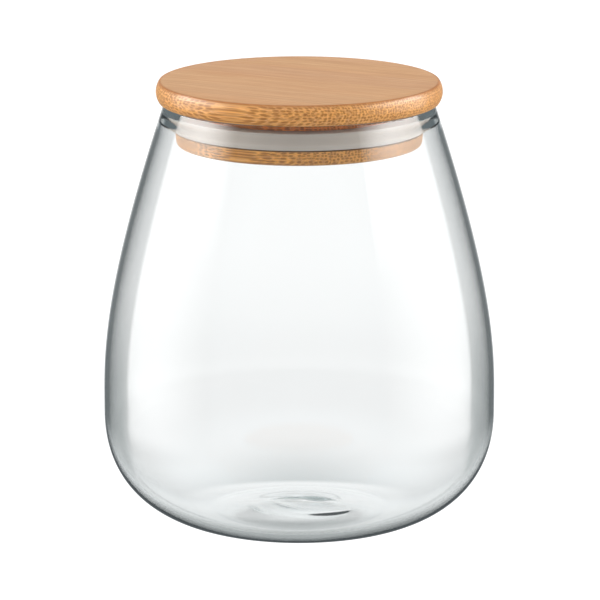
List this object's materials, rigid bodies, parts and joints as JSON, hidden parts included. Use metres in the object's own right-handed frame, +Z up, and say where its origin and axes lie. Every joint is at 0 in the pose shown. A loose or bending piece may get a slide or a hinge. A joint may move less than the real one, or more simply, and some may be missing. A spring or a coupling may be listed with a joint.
{
  "type": "lidded glass canister",
  "caption": "Round-shouldered clear glass storage jar closed by a turned bamboo lid that plugs the mouth through a silicone seal.",
  "frame": {"origin": "centre of the jar's foot, on the surface it stands on", "axes": "+Z up along the axis of the jar and the lid; the bamboo grain of the lid's top runs 28 degrees clockwise from +X seen from above"},
  "size_m": [0.15, 0.15, 0.172],
  "materials": {
    "clear_glass": "clear, polished",
    "milky_silicone": "translucent, satin",
    "bamboo": "turned and oiled, satin"
  },
  "bodies": {
    "jar": {"glass_jar": "clear_glass"},
    "seal": {"silicone_seal": "milky_silicone"},
    "lid": {"lid_disc_strip_1": "bamboo", "lid_disc_strip_2": "bamboo", "lid_disc_strip_3": "bamboo", "lid_disc_strip_4": "bamboo", "lid_disc_strip_5": "bamboo", "lid_disc_strip_6": "bamboo", "lid_core_strip_1": "bamboo", "lid_core_strip_2": "bamboo", "lid_core_strip_3": "bamboo", "lid_core_strip_4": "bamboo", "lid_core_strip_5": "bamboo", "lid_plug_strip_1": "bamboo", "lid_plug_strip_2": "bamboo", "lid_plug_strip_3": "bamboo", "lid_plug_strip_4": "bamboo", "lid_plug_strip_5": "bamboo"}
  },
  "joints": [
    {"name": "lid_lift", "type": "slide", "parent": "jar", "child": "seal", "axis": [0, 0, 1], "range_m": [0, 0.08]},
    {"name": "lid_turn", "type": "hinge", "parent": "seal", "child": "lid", "pos_m": [0, 0, 0.164], "axis": [0, 0, 1], "continuous": true}
  ]
}
